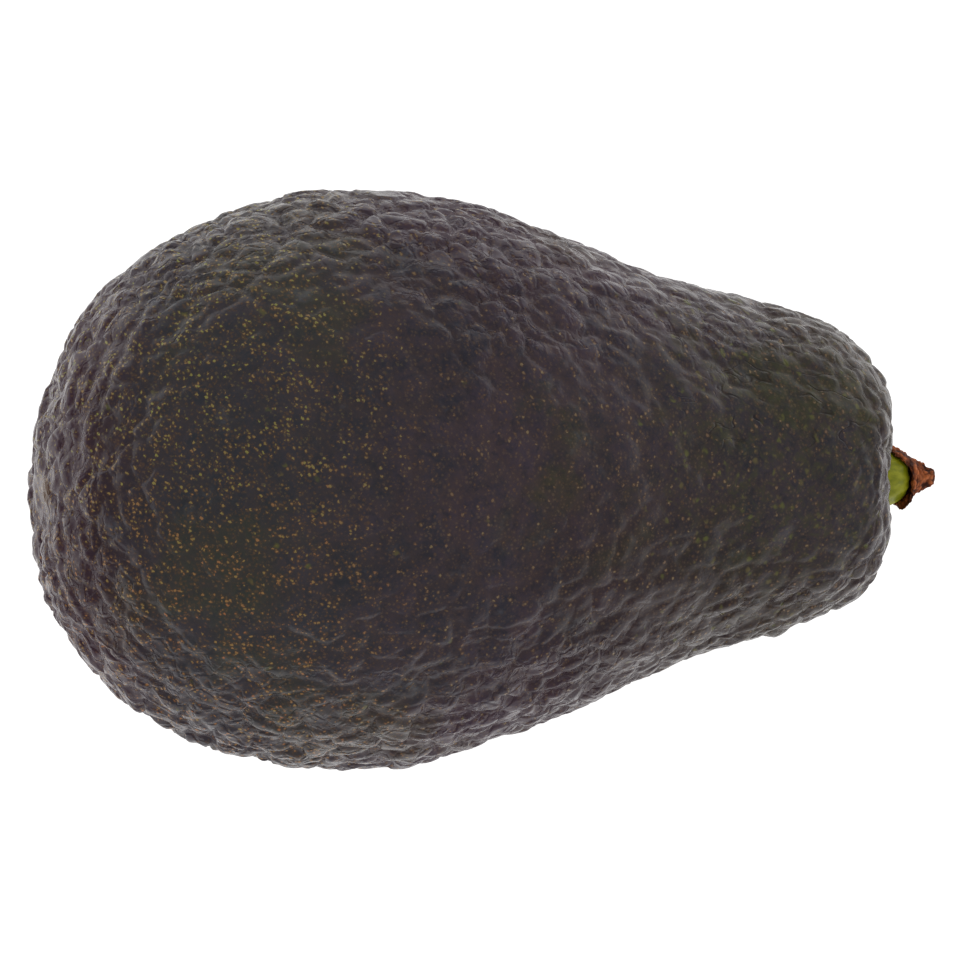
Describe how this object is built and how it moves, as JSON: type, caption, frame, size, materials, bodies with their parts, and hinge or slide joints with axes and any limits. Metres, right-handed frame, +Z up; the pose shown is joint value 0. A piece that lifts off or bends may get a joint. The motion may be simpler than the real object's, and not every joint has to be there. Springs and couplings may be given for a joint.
{
  "type": "avocado",
  "caption": "A large pebble-skinned avocado, dark purple-green and pear-shaped, lying on its side with a short swollen green stalk that ends in a dry brown stub",
  "frame": {"origin": "the middle of the small flat spot on the underside that the fruit rests on, under its weight", "axes": "+Z up from the surface that it rests on, +X from the blossom end towards the stalk, seen from above as in the picture; +Y completes a right-handed frame"},
  "size_m": [0.1186, 0.0756, 0.0744],
  "materials": {
    "skin": "satin",
    "green_stalk": "satin",
    "dry_stalk": "matte"
  },
  "bodies": {
    "root": {"fruit": "skin", "pedicel": "green_stalk", "stalk_stub": "dry_stalk"}
  },
  "joints": []
}
